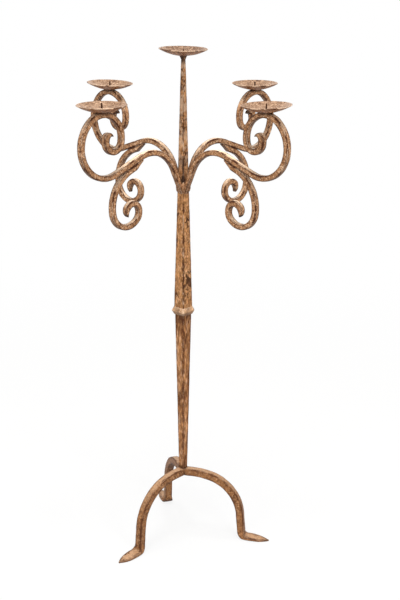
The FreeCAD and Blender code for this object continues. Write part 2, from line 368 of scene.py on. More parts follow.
@dataclass(frozen=True)
class Blows:
    """Blows of a hammer, with a finer and weaker ripple over them."""

    depth: float
    spacing: float
    ripple_spacing: float = 0.45
    ripple_depth: float = 0.4
    drift: float = 0.37

    def strike(self, mesh: Mesh, seed: float) -> None:
        """Dent a mesh unevenly.

        Args:
            mesh: Mesh to dent.
            seed: Number that sets where the dents fall.
        """
        mesh.normal_update()
        offset = Vector((seed, seed * self.drift, -seed))
        moves = []
        for vertex in mesh.verts:
            blow = noise.noise(vertex.co / self.spacing + offset)
            ripple = noise.noise(vertex.co / (self.spacing * self.ripple_spacing) - offset)
            moves.append(vertex.normal * (self.depth * (blow + self.ripple_depth * ripple)))
        for vertex, move in zip(mesh.verts, moves):
            vertex.co += move


def blacken(mesh: Mesh, seams: list[Seam]) -> None:
    """Mark the vertices that lie near a seam, for painted shade where parts meet and for darker tips.

    Args:
        mesh: Mesh to mark.
        seams: First end, last end and reach of each seam.
    """
    soot = marks(mesh, Mark.SHADE_AND_DARK_TIPS)
    for vertex in mesh.verts:
        for first, last, reach in seams:
            run = last - first
            share = 0.0
            if run.length_squared > 0:
                share = min(max((vertex.co - first).dot(run) / run.length_squared, 0.0), 1.0)
            away = (vertex.co - first - run * share).length
            vertex[soot] = max(vertex[soot], 1 - eased(reach * SHADE_AND_TIP_CORE, reach, away))


@dataclass
class Finisher:
    """Makes finished pieces of meshes and reports them."""

    crease: float = 42.0
    count: int = 0

    def finish(self, mesh: Mesh, name: str, nodes: list[str], slot: str,
               material: bpy.types.Material, azimuth: float = 0.0) -> None:
        """Turn a mesh to its place and make a piece of the stand from it.

        Args:
            mesh: Closed mesh, freed here.
            name: Name of the piece.
            nodes: Nodes of the frame that the piece stands for.
            slot: Material slot; not used.
            material: Finish of the piece.
            azimuth: Angle round the post.
        """
        bmesh.ops.rotate(mesh, verts=mesh.verts[:], matrix=round_post(azimuth))
        for face in mesh.faces:
            face.smooth = True
        for edge in mesh.edges:
            edge.smooth = edge.calc_face_angle(0.0) < math.radians(self.crease)
        data = bpy.data.meshes.new(name)
        mesh.to_mesh(data)
        mesh.free()
        data.materials.append(material)
        piece = bpy.data.objects.new(name, data)
        bpy.context.scene.collection.objects.link(piece)
        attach(piece, "root")
        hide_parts(*nodes)
        self.count += 1
        log.info("%s: %d vertices", name, len(data.vertices))


@dataclass
class Post:
    """Square post of two tapered bars with a ridged collar over their joint."""

    foot_height: float = 0.1915
    joint_height: float = 0.639
    lower_foot_side: float = 0.016
    lower_head_side: float = 0.0308
    upper_base_side: float = 0.0346
    waist_height: float = 0.928
    waist_side: float = 0.0222
    spire_drop: float = 0.0577
    spire_side: float = 0.0106
    neck_drop: float = 0.009
    neck_side: float = 0.0076
    head_side: float = 0.013
    head_lip: float = 0.0015
    seat_height: float = 1.282687
    corner_share: float = 0.07
    step: float = 0.006
    blows: Blows = Blows(0.00035, 0.022)
    collar_height: float = 0.020
    collar_edge: float = 0.0365
    collar_ridge: float = 0.0435
    collar_flank: Outline = ((0.09, 1.0), (0.22, 0.86), (0.55, 0.42))
    collar_bevel: float = 0.0012
    collar_bevel_height: float = 0.0008
    collar_corner_share: float = 0.10
    collar_blows: Blows = Blows(0.0003, 0.009)
    bore_low_grip: float = 0.0004
    bore_high_grip: float = 0.0006
    # Edge mark along the collar's ridge, for a pale line that is partly painted highlight and a little wear.
    ridge_wear_and_highlight: float = 0.8
    ridge_wear_and_highlight_full: float = 0.0006
    ridge_wear_and_highlight_end: float = 0.0028
    # Reaches of painted shade where parts meet the post: at its foot, round the collar, under the middle pan
    # and at the arms' roots, with a thin dark line up each corner.
    foot_shade: float = 0.018
    shade_under_collar: float = 0.022
    shade_over_collar: float = 0.024
    neck_shade: float = 0.016
    neck_shade_run: float = 0.008
    root_top: float = 0.019
    root_shade_run: float = 0.009
    root_shade: float = 0.0105
    thin_shade_top: float = 0.070
    thin_shade: float = 0.0042

    def half_side(self, height: float) -> float:
        """Give half the side of the post between its waist and its spire.

        Args:
            height: Height over the floor.

        Returns:
            Half the side.
        """
        spire = self.seat_height - self.spire_drop
        share = (height - self.waist_height) / (spire - self.waist_height)
        return (self.waist_side + share * (self.spire_side - self.waist_side)) / 2

    def corner(self, height: float, side: Side) -> Vector:
        """Give the corner of the post on one side of the arm along +X."""
        half = self.half_side(height)
        return Vector((half, half * side.value, height))

    def root_seam(self, arm_root: float, side: Side, reach: float) -> Seam:
        """Give the seam where the top of an arm's root meets a corner of the post."""
        corner = self.corner(arm_root + self.root_top, side)
        return corner, corner + UP * self.root_shade_run, reach

    def bar(self, stations: list[tuple[float, float]], seed: float) -> Mesh:
        """Forge an upright bar.

        Args:
            stations: Height and side of the bar, from its foot to its head.
            seed: Number that sets where the dents fall.

        Returns:
            The mesh of the bar.
        """
        height, side = stations[0]
        path = BarPath(upright(0.0, height), 90.0, side, side, self.step)
        for next_height, next_side in stations[1:]:
            path.straight(next_height - height, next_side, next_side)
            height = next_height
        mesh = forge(path.sections, self.corner_share)
        self.blows.strike(mesh, seed)
        return mesh

    def lower_bar(self) -> Mesh:
        """Forge the lower bar, which stands on the legs.

        Returns:
            The mesh of the bar.
        """
        mesh = self.bar([(self.foot_height, self.lower_foot_side),
                         (self.joint_height, self.lower_head_side)], seed=3.1)
        under_collar = upright(0.0, self.joint_height - self.collar_height / 2)
        # Painted shade where the bar stands on the legs and under the collar.
        blacken(mesh, [spot(upright(0.0, self.foot_height), self.foot_shade),
                       spot(under_collar, self.shade_under_collar)])
        return mesh

    def upper_bar(self, arm_root: float) -> Mesh:
        """Forge the upper bar, which ends in a small head under the middle pan.

        Args:
            arm_root: Height at which the arms leave the post.

        Returns:
            The mesh of the bar.
        """
        mesh = self.bar([
            (self.joint_height, self.upper_base_side),
            (self.waist_height, self.waist_side),
            (self.seat_height - self.spire_drop, self.spire_side),
            (self.seat_height - self.neck_drop, self.neck_side),
            (self.seat_height - self.head_lip, self.head_side),
            (self.seat_height, self.head_side)], seed=8.4)
        over_collar = upright(0.0, self.joint_height + self.collar_height / 2)
        seat = upright(0.0, self.seat_height)
        # Painted shade over the collar, under the middle pan, where the arms leave the post and in a thin
        # line up each corner above them.
        seams = [spot(over_collar, self.shade_over_collar),
                 (seat, seat - UP * self.neck_shade_run, self.neck_shade)]
        root = self.root_seam(arm_root, Side.LEFT, self.root_shade)
        thin = (root[0], self.corner(arm_root + self.thin_shade_top, Side.LEFT), self.thin_shade)
        for quarter in range(4):
            turn = round_post(90.0 * quarter)
            seams += [(turn @ first, turn @ last, reach) for first, last, reach in (root, thin)]
        blacken(mesh, seams)
        return mesh

    def collar(self) -> Mesh:
        """Forge the collar as a ring with a rounded ridge that closes round the post.

        Returns:
            The mesh of the collar.
        """
        mesh = new_mesh()
        first_ring = draw_profile(mesh, self.collar_corner_share)
        bmesh.ops.delete(mesh, geom=mesh.faces[:], context="FACES_ONLY")
        half = self.collar_height / 2
        flank = [(half * rise, between(self.collar_edge, self.collar_ridge, share))
                 for rise, share in self.collar_flank]
        flank += [(half - self.collar_bevel_height, self.collar_edge),
                  (half, self.collar_edge - self.collar_bevel)]
        outline = [(-height, side) for height, side in reversed(flank)] + flank
        outline += [(half, self.upper_base_side - self.bore_high_grip),
                    (-half, self.lower_head_side - self.bore_low_grip)]
        last_ring = sweep(mesh, first_ring, [
            Section(upright(0.0, self.joint_height + height), left_of(90.0), side, side).matrix()
            for height, side in outline])
        bmesh.ops.bridge_loops(mesh, edges=first_ring + last_ring)
        bmesh.ops.recalc_face_normals(mesh, faces=mesh.faces[:])
        # The ridge is marked as an edge: a pale line that is partly painted highlight, and a little wear.
        edge_mark = marks(mesh, Mark.EDGE)
        for vertex in mesh.verts:
            away = abs(vertex.co.z - self.joint_height)
            ridge = 1 - eased(self.ridge_wear_and_highlight_full, self.ridge_wear_and_highlight_end, away)
            vertex[edge_mark] = max(vertex[edge_mark], ridge * self.ridge_wear_and_highlight)
        self.collar_blows.strike(mesh, seed=5.2)
        return mesh

    def build(self, finisher: Finisher, arm_root: float, dress: "Wardrobe") -> None:
        """Make the two bars and the collar.

        Args:
            finisher: Makes the pieces.
            arm_root: Height at which the arms leave the post.
            dress: The finishes.
        """
        finisher.finish(self.lower_bar(), "post_lower_bar", ["lower_post"], "post_iron", dress.post_foot)
        finisher.finish(self.upper_bar(arm_root), "post_upper_bar", ["upper_post"], "post_iron", dress.post)
        finisher.finish(self.collar(), "ridged_collar", ["post_collar"], "collar_iron", dress.collar)


@dataclass
class Arms:
    """Four scrolled arms and the lower scrolls that are welded under them."""

    bar_side: float = 0.014
    curl_end_width: float = 0.0174
    hook_forward: float = 0.0084
    hook_inward: float = 0.0102
    hook_blunt: float = 0.0024
    hook_thinning: float = 0.72
    reach: float = 0.3357
    root_height: float = 0.961
    root_inset: float = 0.015
    root_angle: float = 65.0
    rise_run: float = 0.0555
    crest_radius: float = 0.088
    crest_turn: float = 85.0
    loop_low_radius: float = 0.076
    loop_low_turn: float = 161.0
    loop_high_radius: float = 0.058
    loop_high_turn: float = 141.0
    curl_radius: float = 0.024
    curl_turn: float = 160.0
    tip_radius: float = 0.035
    tip_turn: float = 20.0
    seat_depth: float = 0.0006
    scarf_length: float = 0.027
    scarf_end: float = 0.002
    parallel_run: float = 0.015
    fall_radius: float = 0.090
    fall_turn: float = 76.0
    turn_radius: float = 0.0455
    turn_turn: float = 127.0
    rise_radius: float = 0.026
    rise_turn: float = 67.0
    curl_back_radius: float = 0.021
    curl_back_turn: float = 120.0
    scroll_end_width: float = 0.0154
    claw_forward: float = 0.017
    claw_inward: float = 0.006
    blows: Blows = Blows(0.00032, 0.013)
    bead_reach: float = 0.0045
    bead_length: float = 0.027
    bead_inset: float = 0.0006
    bead_rise: float = 0.0015
    bead_blows: Blows = Blows(0.0007, 0.0035)
    # Reaches of painted shade on the beads, in the throat, at the roots and under the pans, of dark weld and
    # shade along the weld, and of darker tips.
    bead_shade_start: float = 0.010
    bead_shade_full: float = 0.0155
    throat_low: float = 0.020
    throat_high: float = 0.028
    throat_shade: float = 0.008
    root_shade: float = 0.0095
    crown_shade: float = 0.014
    weld_joint_and_shade: float = 0.0055
    tip_darkening: float = 0.014
    names: tuple[str, ...] = ("right", "back", "left", "front")
    sag_start: Vector = field(default_factory=Vector)
    sag_heading: float = 0.0
    crown: Vector = field(default_factory=Vector)

    def arm(self, post: Post, seed: float) -> Mesh:
        """Forge one arm, from inside the post to the hooked end inside its loop.

        Args:
            post: The post that the arm leaves.
            seed: Number that sets where the dents fall.

        Returns:
            The mesh of the arm.
        """
        half = self.bar_side / 2
        face = upright(post.half_side(self.root_height), self.root_height)
        start = face - direction(self.root_angle) * self.root_inset
        path = BarPath(start, self.root_angle, self.bar_side, self.bar_side)
        path.straight(self.root_inset + self.rise_run)
        path.bend(self.crest_radius, -self.crest_turn)
        self.sag_start = path.point
        self.sag_heading = path.heading
        loop_reach = self.reach - half - self.loop_low_radius
        sag_end = loop_reach - left_of(path.heading).x * self.loop_low_radius
        path.straight((sag_end - path.point.x) / direction(path.heading).x)
        path.bend(self.loop_low_radius, self.loop_low_turn)
        crown_middle = path.bend(self.loop_high_radius, self.loop_high_turn)
        self.crown = crown_middle + UP * (self.loop_high_radius + half - self.seat_depth)
        path.bend(self.curl_radius, self.curl_turn, (self.bar_side + self.curl_end_width) / 2)
        path.bend(self.tip_radius, self.tip_turn, self.curl_end_width)
        path.hook(Side.LEFT, self.hook_forward, self.hook_inward, self.hook_blunt,
                  self.bar_side * self.hook_thinning)
        mesh = forge(path.sections)
        self.blows.strike(mesh, seed)
        for vertex in mesh.verts:
            vertex.co.z = min(vertex.co.z, self.crown.z)
        # Painted shade where the arm leaves the post, in its throat, under its pan and along the weld
        # beneath it, and a darker hook tip.
        beside = upright(self.crown_shade, 0.0)
        blacken(mesh, [
            *(post.root_seam(self.root_height, side, self.root_shade) for side in Side),
            (face + UP * self.throat_low, face + UP * self.throat_high, self.throat_shade),
            (self.crown - beside, self.crown + beside, self.crown_shade),
            self.weld_seam(), spot(path.sections[-1].centre, self.tip_darkening)])
        return mesh

    def weld_seam(self) -> Seam:
        """Give the seam where the lower scroll is welded to the arm's underside.

        Returns:
            The seam.
        """
        first = self.sag_start - left_of(self.sag_heading) * (self.bar_side / 2)
        run = self.scarf_length + self.parallel_run
        return first, first + direction(self.sag_heading) * run, self.weld_joint_and_shade

    def lower_scroll(self, seed: float) -> Mesh:
        """Forge one lower scroll, thin where it starts against the arm's underside.

        Args:
            seed: Number that sets where the dents fall.

        Returns:
            The mesh of the scroll.
        """
        seam = self.weld_seam()
        start = seam[0] - left_of(self.sag_heading) * (self.scarf_end / 2)
        path = BarPath(start, self.sag_heading, self.scarf_end, self.bar_side)
        path.straight(self.scarf_length, self.bar_side, flush=Side.LEFT)
        path.straight(self.parallel_run)
        path.bend(self.fall_radius, -self.fall_turn)
        path.bend(self.turn_radius, -self.turn_turn)
        path.bend(self.rise_radius, -self.rise_turn)
        path.bend(self.curl_back_radius, -self.curl_back_turn, self.scroll_end_width)
        path.hook(Side.RIGHT, self.claw_forward, self.claw_inward, self.hook_blunt,
                  self.bar_side * self.hook_thinning)
        mesh = forge(path.sections)
        self.blows.strike(mesh, seed)
        # Dark weld and painted shade along the weld under the arm, and a darker claw tip.
        blacken(mesh, [seam, spot(path.sections[-1].centre, self.tip_darkening)])
        return mesh

    def beads(self, post: Post) -> Mesh:
        """Lay a rough weld bead in each corner between two arms.

        Args:
            post: The post that the arms leave.

        Returns:
            The mesh of the beads.
        """
        mesh = new_mesh()
        corner = post.half_side(self.root_height) - self.bead_inset
        middle = self.root_height + self.bead_rise
        size = (self.bead_reach, self.bead_reach, self.bead_length / 2)
        for quarter in range(4):
            vertices = bmesh.ops.create_icosphere(mesh, subdivisions=3, radius=1.0)["verts"]
            bmesh.ops.scale(mesh, verts=vertices, vec=size)
            bmesh.ops.translate(mesh, verts=vertices, vec=(corner, corner, middle))
            bmesh.ops.rotate(mesh, verts=vertices, matrix=round_post(90.0 * quarter))
        self.bead_blows.strike(mesh, seed=9.7)
        # Painted shade on the upper part of each bead, in the corner between the arms.
        soot = marks(mesh, Mark.SHADE_AND_DARK_TIPS)
        for vertex in mesh.verts:
            vertex[soot] = eased(self.bead_shade_start, self.bead_shade_full, vertex.co.z - middle)
        return mesh

    def build(self, finisher: Finisher, post: Post, dress: "Wardrobe") -> None:
        """Make the arms, the lower scrolls and the beads.

        Args:
            finisher: Makes the pieces.
            post: The post that the arms leave.
            dress: The finishes.
        """
        for index, name in enumerate(self.names):
            azimuth = 90.0 * index
            finisher.finish(self.arm(post, seed=1.7 + index), "scrolled_arm_" + name,
                            ["arm_" + name], "arm_iron", dress.bar, azimuth)
            finisher.finish(self.lower_scroll(seed=6.3 + index), "hanging_scroll_" + name,
                            ["lower_scroll_" + name], "arm_iron", dress.bar, azimuth)
        finisher.finish(self.beads(post), "arm_weld_beads", ["arm_root_welds"], "weld_metal", dress.bead)


@dataclass
class Pans:
    """Beaten round pans and the spikes that stand in them."""

    diameter: float = 0.119
    sphere_radius: float = 0.118
    wall: float = 0.002
    floor_radius: float = 0.011
    wall_steps: int = 12
    lip_steps: int = 5
    round_steps: int = 84
    blows: Blows = Blows(0.00022, 0.026)
    # Width of the lip's edge mark, for wear and a pale line that is partly painted highlight.
    lip_wear_and_highlight_start: float = 0.0022
    lip_wear_and_highlight_full: float = 0.0006
    inside_share: float = 0.6
    spike_foot_weld_and_shade: float = 0.0055
    underneath_shade: float = 0.020
    lean_azimuth: float = 44.2
    level_share: float = 0.3
    leans: tuple[tuple[str, float], ...] = (
        ("right", 2.1), ("back", 0.2), ("left", -2.3), ("front", 0.5), ("middle", -1.0))
    spike_radius: float = 0.002
    spike_taper: float = 0.008
    spike_sides: int = 18
    spike_step: float = 0.0015
    spike_sink: float = 0.9
    spike_weld: Outline = ((0.0, 2.3), (0.0006, 1.9), (0.0014, 1.3), (0.0026, 1.0))
    spike_point: Outline = ((0.0045, 0.96), (0.0018, 0.72), (0.0005, 0.42), (0.0, 0.16))
    spike_blows: Blows = Blows(0.00014, 0.003)
    arm_spike_height: float = 0.021313
    middle_spike_height: float = 0.015313

    def dish(self, lean: float, seed: float) -> Mesh:
        """Beat one dish on its own axis.

        Args:
            lean: Angle by which the rim leans, seen from the front.
            seed: Number that sets where the dents fall.

        Returns:
            The mesh of the dish, with its underside at height 0.
        """
        mesh = new_mesh()
        outer = self.sphere_radius
        first = math.asin(self.floor_radius / outer)
        last = math.asin(self.diameter / 2 / outer) - self.wall / 2 / outer
        middle = upright(0.0, math.sqrt(outer**2 - self.floor_radius**2))
        lip = middle + upright(math.sin(last), -math.cos(last)) * (outer - self.wall / 2)
        point = mesh.verts.new(upright(0.0, 0.0))
        point = self.drawn(mesh, point, upright(self.floor_radius, 0.0))
        point = self.swept(mesh, point, middle, last - first, self.wall_steps)
        point = self.swept(mesh, point, lip, math.pi, self.lip_steps)
        point = self.swept(mesh, point, middle, first - last, self.wall_steps)
        self.drawn(mesh, point, upright(0.0, point.co.z))
        bmesh.ops.spin(mesh, geom=mesh.verts[:] + mesh.edges[:], axis=UP, cent=(0.0, 0.0, 0.0),
                       angle=math.tau, steps=self.round_steps, use_merge=True)
        bmesh.ops.remove_doubles(mesh, verts=mesh.verts[:], dist=MERGE_DISTANCE)
        bmesh.ops.recalc_face_normals(mesh, faces=mesh.faces[:])
        self.mark(mesh, middle)
        self.blows.strike(mesh, seed)
        self.lean(mesh, lean)
        return mesh

    @staticmethod
    def drawn(mesh: Mesh, point: Vertex, end: Vector) -> Vertex:
        """Draw a straight edge from a vertex.

        Args:
            mesh: Mesh that holds the vertex.
            point: Vertex to start from.
            end: Point to end at.

        Returns:
            The vertex at the end.
        """
        last = bmesh.ops.extrude_vert_indiv(mesh, verts=[point])["verts"][0]
        last.co = end
        return last

    @staticmethod
    def swept(mesh: Mesh, point: Vertex, centre: Vector, angle: float, steps: int) -> Vertex:
        """Sweep a vertex along an arc of the upright plane.

        Args:
            mesh: Mesh that holds the vertex.
            point: Vertex to start from.
            centre: Middle of the arc.
            angle: Angle in radians, positive where it turns outwards and up.
            steps: Number of edges.

        Returns:
            The vertex at the end.
        """
        made = bmesh.ops.spin(mesh, geom=[point], axis=(0.0, -1.0, 0.0), cent=centre, angle=angle,
                              steps=steps)
        return only(Vertex, made["geom_last"])[0]

    def mark(self, mesh: Mesh, middle: Vector) -> None:
        """Mark the inside, the lip, which takes wear and a pale line that is partly painted highlight, and
        the middle, which takes painted shade round the spike and underneath.

        Args:
            mesh: Mesh of the dish.
            middle: Middle of the sphere that the dish is part of.
        """
        inside = marks(mesh, Mark.INSIDE)
        edge_mark = marks(mesh, Mark.EDGE)
        rim = self.diameter / 2
        inner = self.sphere_radius - self.wall * self.inside_share
        for vertex in mesh.verts:
            flat = math.hypot(vertex.co.x, vertex.co.y)
            on_floor = flat < self.floor_radius
            deep = vertex.co.z > self.wall / 2 if on_floor else (vertex.co - middle).length < inner
            vertex[inside] = 1.0 if deep else 0.0
            # The lip is marked as an edge: wear and a pale line that is partly painted highlight.
            vertex[edge_mark] = eased(rim - self.lip_wear_and_highlight_start, rim - self.lip_wear_and_highlight_full, flat)
        # Dark weld and painted shade round the spike's foot, and painted shade under the dish where it sits.
        blacken(mesh, [spot(upright(0.0, self.wall), self.spike_foot_weld_and_shade),
                       spot(upright(0.0, 0.0), self.underneath_shade)])

    def lean(self, mesh: Mesh, lean: float) -> None:
        """Let the rim lean a little while the floor stays level on its seat.

        Args:
            mesh: Mesh of the dish.
            lean: Angle, positive where the right of the front view rises.
        """
        rightwards = round_post(self.lean_azimuth) @ upright(1.0, 0.0)
        slope = math.tan(math.radians(lean))
        full = self.diameter * self.level_share
        for vertex in mesh.verts:
            flat = math.hypot(vertex.co.x, vertex.co.y)
            vertex.co.z += slope * vertex.co.dot(rightwards) * eased(self.floor_radius, full, flat)

    def spike(self, tip: float, seed: float) -> Mesh:
        """Make one spike with a small weld at its foot and a filed point.

        Args:
            tip: Height of the point over the underside of the dish.
            seed: Number that sets where the dents fall.

        Returns:
            The mesh of the spike.
        """
        foot = self.wall * self.spike_sink
        outline = [(foot + rise, share) for rise, share in self.spike_weld]
        low = outline[-1][0]
        high = tip - self.spike_taper
        count = max(2, round((high - foot) / self.spike_step))
        outline += [(between(low, high, step / count), 1.0) for step in range(1, count + 1)]
        outline += [(tip - drop, share) for drop, share in self.spike_point]
        mesh = new_mesh()
        bmesh.ops.create_circle(mesh, cap_ends=True, segments=self.spike_sides, radius=self.spike_radius)
        cap(mesh, sweep(mesh, mesh.edges[:], [
            Matrix.Translation((0.0, 0.0, height)) @ Matrix.Diagonal((share, share, 1.0, 1.0))
            for height, share in outline]))
        self.spike_blows.strike(mesh, seed)
        return mesh

    def build(self, finisher: Finisher, crown: Vector, post: Post, dress: "Wardrobe") -> None:
        """Make the five pans and their spikes.

        Args:
            finisher: Makes the pieces.
            crown: Seat of the pan on an arm along +X.
            post: The post that carries the middle pan.
            dress: The finishes.
        """
        for index, (name, lean) in enumerate(self.leans):
            seat = round_post(90.0 * index) @ crown
            tip = self.arm_spike_height
            finish = dress.pan
            if name == "middle":
                seat = upright(0.0, post.seat_height)
                tip = self.middle_spike_height
                finish = dress.pan_high
            dish = self.dish(lean, seed=2.9 + index * 1.3)
            bmesh.ops.translate(dish, verts=dish.verts[:], vec=seat)
            finisher.finish(dish, "candle_pan_" + name, ["pan_" + name], "pan_iron", finish)
            spike = self.spike(tip, seed=4.4 + index)
            bmesh.ops.translate(spike, verts=spike.verts[:], vec=seat)
            finisher.finish(spike, "candle_spike_" + name, ["spike_" + name], "spike_iron", dress.spike)


@dataclass
class Legs:
    """Three arched legs, mitred together under the post, with leaf shaped feet."""

    crown_height: float = 0.1915
    width: float = 0.020
    depth: float = 0.020
    lower_depth: float = 0.020
    root_run: float = 0.026
    shoulder_radius: float = 0.190
    shoulder_turn: float = 14.0
    arch_radius: float = 0.114
    arch_turn: float = 71.0
    ankle_radius: float = 0.017
    foot_reach: float = 0.240
    broad_reach: float = 0.190
    broad_width: float = 0.035
    foot_depth: float = 0.009
    tip_depth: float = 0.003
    tip_gap: float = 0.0012
    least_width: float = 0.0035
    flare_height: float = 0.027
    flare_end: float = 0.006
    heel_reach: float = 0.154
    sole_round: float = 0.006
    sole_round_run: float = 0.03
    groove: float = 0.0012
    groove_share: float = 0.93
    mitre_angle: float = 60.0
    mitre_reach: float = 1.6
    corner_share: float = 0.14
    step: float = 0.004
    foot_step: float = 0.0022
    blows: Blows = Blows(0.0004, 0.016)
    # How much further the painted edge shade and wear reach on the leaf of a foot.
    foot_edge_shade_and_wear: float = 0.22
    # Darkening towards the foot tips, and reaches of painted shade under the legs' join and where the post
    # stands on it.
    tip_darkness: float = 0.6
    tip_darkness_start: float = 0.026
    tip_darkness_full: float = 0.004
    root_shade: float = 0.022
    join_shade: float = 0.015
    names: tuple[str, ...] = ("front", "right", "left")

    def leaf_width(self, reach: float) -> float:
        """Give the width that the plan of the leaf allows.

        Args:
            reach: Distance from the post's axis.

        Returns:
            The width.
        """
        half = self.width / 2
        broad = self.broad_width / 2
        if reach <= self.heel_reach:
            return self.width
        run, rise = self.heel_reach - self.broad_reach, broad - half
        if reach > self.broad_reach:
            run, rise = self.foot_reach - self.broad_reach, broad
        radius = (run**2 + rise**2) / (2 * rise)
        away = reach - self.broad_reach
        return 2 * (broad - radius + math.sqrt(max(radius**2 - away**2, 0.0)))

    def flare_width(self, height: float) -> float:
        """Give the width that the flare over the foot allows.

        Args:
            height: Height over the floor.

        Returns:
            The width.
        """
        fall = self.flare_height - self.flare_end
        rise = (self.broad_width - self.width) / 2
        radius = (fall**2 + rise**2) / (2 * rise)
        down = min(max(self.flare_height - height, 0.0), fall)
        return self.width + 2 * (radius - math.sqrt(radius**2 - down**2))

    def foot_width(self, reach: float, height: float) -> float:
        """Give the width that the leaf and the flare both allow."""
        return min(self.leaf_width(reach), self.flare_width(height))

    def leg(self, seed: float) -> Mesh:
        """Forge one leg and beat its foot out.

        Args:
            seed: Number that sets where the dents fall.

        Returns:
            The mesh of the leg.
        """
        at_foot = -self.shoulder_turn - self.arch_turn
        start = upright(0.0, self.crown_height - self.depth / 2)
        path = BarPath(start, 0.0, self.depth, self.width, self.step)
        path.straight(self.groove)
        path.straight(self.root_run - self.groove)
        path.bend(self.shoulder_radius, -self.shoulder_turn)
        path.bend(self.arch_radius, -self.arch_turn)
        ankle_drop = self.ankle_radius * (1 - math.cos(math.radians(at_foot)))
        fall = path.point.z - self.foot_depth / 2 - ankle_drop
        path.straight(fall / -math.sin(math.radians(at_foot)), self.lower_depth)
        path.step = self.foot_step
        path.bend(self.ankle_radius, -at_foot, self.foot_depth)
        path.straight(self.foot_reach - self.tip_gap - path.point.x, self.tip_depth, flush=Side.RIGHT)
        sections = []
        for section in path.sections:
            wide = self.foot_width(section.centre.x, section.centre.z)
            sections.append(replace(section, depth=max(wide, self.least_width)))
        mesh = forge(sections, self.corner_share)
        self.mitre(mesh)
        self.blows.strike(mesh, seed)
        edge_mark = marks(mesh, Mark.EDGE)
        soot = marks(mesh, Mark.SHADE_AND_DARK_TIPS)
        tip_start = self.foot_reach - self.tip_darkness_start
        tip_full = self.foot_reach - self.tip_darkness_full
        for vertex in mesh.verts:
            vertex.co.z = max(vertex.co.z, 0.0)
            self.round_sole(vertex)
            on_leaf = eased(self.heel_reach, self.broad_reach, vertex.co.x)
            # On the leaf the edge mark is raised, so painted edge shade and worn lines reach further in.
            vertex[edge_mark] *= 1 + self.foot_edge_shade_and_wear * on_leaf
            # Darker towards the tip of each foot.
            vertex[soot] = self.tip_darkness * eased(tip_start, tip_full, vertex.co.x)
        # Painted shade under the legs' join and where the post stands on it.
        blacken(mesh, [spot(upright(0.0, self.crown_height - self.depth), self.root_shade),
                       spot(upright(0.0, self.crown_height), self.join_shade)])
        return mesh

    def round_sole(self, vertex: Vertex) -> None:
        """Draw the heel inwards near the floor, so that the sole is rounded off.

        Args:
            vertex: Vertex of the leg.
        """
        half = self.foot_width(vertex.co.x, vertex.co.z) / 2
        low = 1 - min(vertex.co.z / self.sole_round, 1.0)
        heel = 1 - eased(self.broad_reach, self.broad_reach + self.sole_round_run, vertex.co.x)
        pull = self.sole_round * (1 - math.sqrt(1 - low**2)) * heel
        vertex.co.y *= 1 - pull / max(half, self.width / 2)

    def mitre(self, mesh: Mesh) -> None:
        """Cut the root of a leg to the planes where it meets the other two.

        Args:
            mesh: Mesh of a straight ended leg.
        """
        slope = 1 / math.tan(math.radians(self.mitre_angle))
        back = self.width / 2 * slope * self.mitre_reach
        middle = self.crown_height - self.depth / 2
        for vertex in mesh.verts:
            if vertex.co.x < back:
                share = vertex.co.x / back
                if vertex.co.x < self.groove / 2:
                    vertex.co.y *= self.groove_share
                    vertex.co.z = middle + (vertex.co.z - middle) * self.groove_share
                vertex.co.x += abs(vertex.co.y) * slope * (1 - share)

    def build(self, finisher: Finisher, dress: "Wardrobe") -> None:
        """Make the three legs.

        Args:
            finisher: Makes the pieces.
            dress: The finishes.
        """
        for index, name in enumerate(self.names):
            finisher.finish(self.leg(seed=7.7 + index), "arched_leg_" + name, ["leg_" + name],
                            "leg_iron", dress.leg, 120.0 * index - 90.0)


